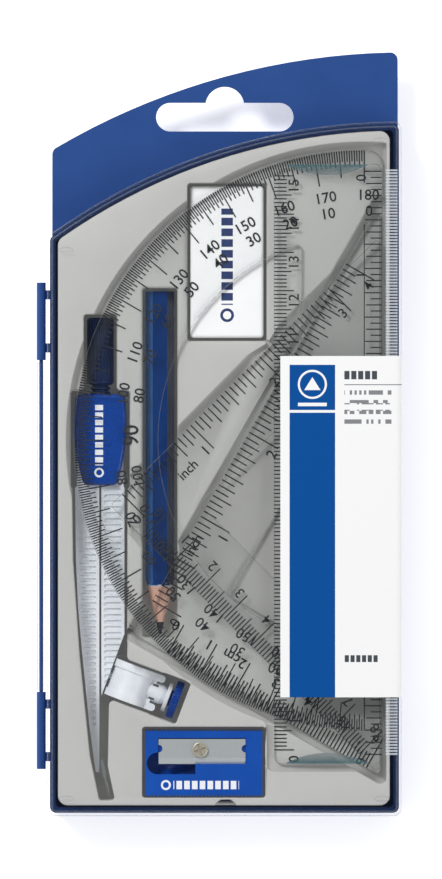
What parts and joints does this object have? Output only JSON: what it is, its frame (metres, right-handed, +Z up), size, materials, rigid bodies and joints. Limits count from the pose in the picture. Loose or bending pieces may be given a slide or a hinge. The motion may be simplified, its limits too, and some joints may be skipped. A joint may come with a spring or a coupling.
{
  "type": "drafting compass set",
  "caption": "Flat hinged case with a formed tray that holds a compass with a pencil clamp, a pencil, an eraser, a sharpener, a protractor, two set squares and a ruler.",
  "frame": {"origin": "middle of the case's underside, at the bottom of the bounding box", "axes": "+X from the hinge to the free side, +Y along the case towards the hanging tab, +Z up out of the lid"},
  "size_m": [0.0956, 0.1998, 0.022],
  "materials": {
    "navy_case": "opaque navy moulding, satin gloss",
    "clear_case": "clear polished moulding",
    "clear_tool": "clear polished acrylic",
    "tray_sheet": "formed grey sheet, fine grain",
    "label_paper": "coated white label",
    "royal_blue": "glossy royal blue moulding",
    "navy_grip": "dark blue ribbed moulding",
    "leg_plastic": "milky white moulding with a pearly gloss",
    "steel": "bright steel",
    "screw_brass": "nickelled brass",
    "pencil_wood": "blue lacquer over cedar",
    "graphite": "dull graphite",
    "white_vinyl": "smooth white vinyl"
  },
  "bodies": {
    "case": {"base_shell": "navy_case", "insert_tray": "tray_sheet", "hinge_pin": "steel"},
    "lid": {"lid_shell": "clear_case", "label": "label_paper"},
    "ruler": {"ruler": "clear_tool"},
    "protractor": {"protractor": "clear_tool"},
    "set_square_45": {"set_square_45": "clear_tool"},
    "set_square_60": {"set_square_60": "clear_tool"},
    "compass": {"head_front": "royal_blue", "head_back": "royal_blue", "pivot_pins": "steel", "grip_handle": "navy_grip", "needle_leg": "leg_plastic", "needle_sleeve": "steel", "needle": "steel", "short_leg": "leg_plastic", "clamp_ring": "leg_plastic", "clamp_pin": "steel"},
    "clamp_jaw": {"clamp_pad": "leg_plastic"},
    "clamp_screw": {"clamp_knob": "royal_blue", "clamp_spindle": "steel"},
    "pencil": {"pencil_barrel": "pencil_wood", "pencil_lead": "graphite"},
    "eraser": {"eraser": "white_vinyl"},
    "sharpener": {"sharpener_body": "royal_blue", "sharpener_blade": "steel", "blade_screw": "screw_brass"}
  },
  "joints": [
    {"name": "lid_hinge", "type": "hinge", "parent": "case", "child": "lid", "pos_m": [-0.0466, 0, 0.011], "axis": [0, -1, 0], "range_deg": [0, 180]},
    {"name": "compass_lift", "type": "slide", "parent": "case", "child": "compass", "axis": [0, 0, 1], "range_m": [0, 0.019]},
    {"name": "pencil_lift", "type": "slide", "parent": "case", "child": "pencil", "axis": [0, 0, 1], "range_m": [0, 0.019]},
    {"name": "eraser_lift", "type": "slide", "parent": "case", "child": "eraser", "axis": [0, 0, 1], "range_m": [0, 0.019]},
    {"name": "sharpener_lift", "type": "slide", "parent": "case", "child": "sharpener", "axis": [0, 0, 1], "range_m": [0, 0.019]},
    {"name": "set_square_60_lift", "type": "slide", "parent": "case", "child": "set_square_60", "axis": [0, 0, 1], "range_m": [0, 0.0221]},
    {"name": "set_square_45_lift", "type": "slide", "parent": "case", "child": "set_square_45", "axis": [0, 0, 1], "range_m": [0, 0.0253]},
    {"name": "protractor_lift", "type": "slide", "parent": "case", "child": "protractor", "axis": [0, 0, 1], "range_m": [0, 0.0278]},
    {"name": "ruler_lift", "type": "slide", "parent": "case", "child": "ruler", "axis": [0, 0, 1], "range_m": [0, 0.0303]},
    {"name": "clamp_jaw_slide", "type": "slide", "parent": "compass", "child": "clamp_jaw", "axis": [0.9367, -0.3502, 0], "range_m": [0, 0.0007]},
    {"name": "clamp_screw_spin", "type": "hinge", "parent": "clamp_jaw", "child": "clamp_screw", "pos_m": [-0.01156, -0.06971, 0.0097], "axis": [0.9367, -0.3502, 0], "range_deg": [0, 360]}
  ],
  "couplings": [
    {"joint": "compass_lift", "follows": "lid_hinge", "m_per_rad": 0.006},
    {"joint": "pencil_lift", "follows": "lid_hinge", "m_per_rad": 0.006},
    {"joint": "eraser_lift", "follows": "lid_hinge", "m_per_rad": 0.006},
    {"joint": "sharpener_lift", "follows": "lid_hinge", "m_per_rad": 0.006},
    {"joint": "set_square_60_lift", "follows": "lid_hinge", "m_per_rad": 0.007},
    {"joint": "set_square_45_lift", "follows": "lid_hinge", "m_per_rad": 0.008},
    {"joint": "protractor_lift", "follows": "lid_hinge", "m_per_rad": 0.0088},
    {"joint": "ruler_lift", "follows": "lid_hinge", "m_per_rad": 0.0096},
    {"joint": "clamp_screw_spin", "follows": "clamp_jaw_slide", "rad_per_m": 8975.9}
  ]
}
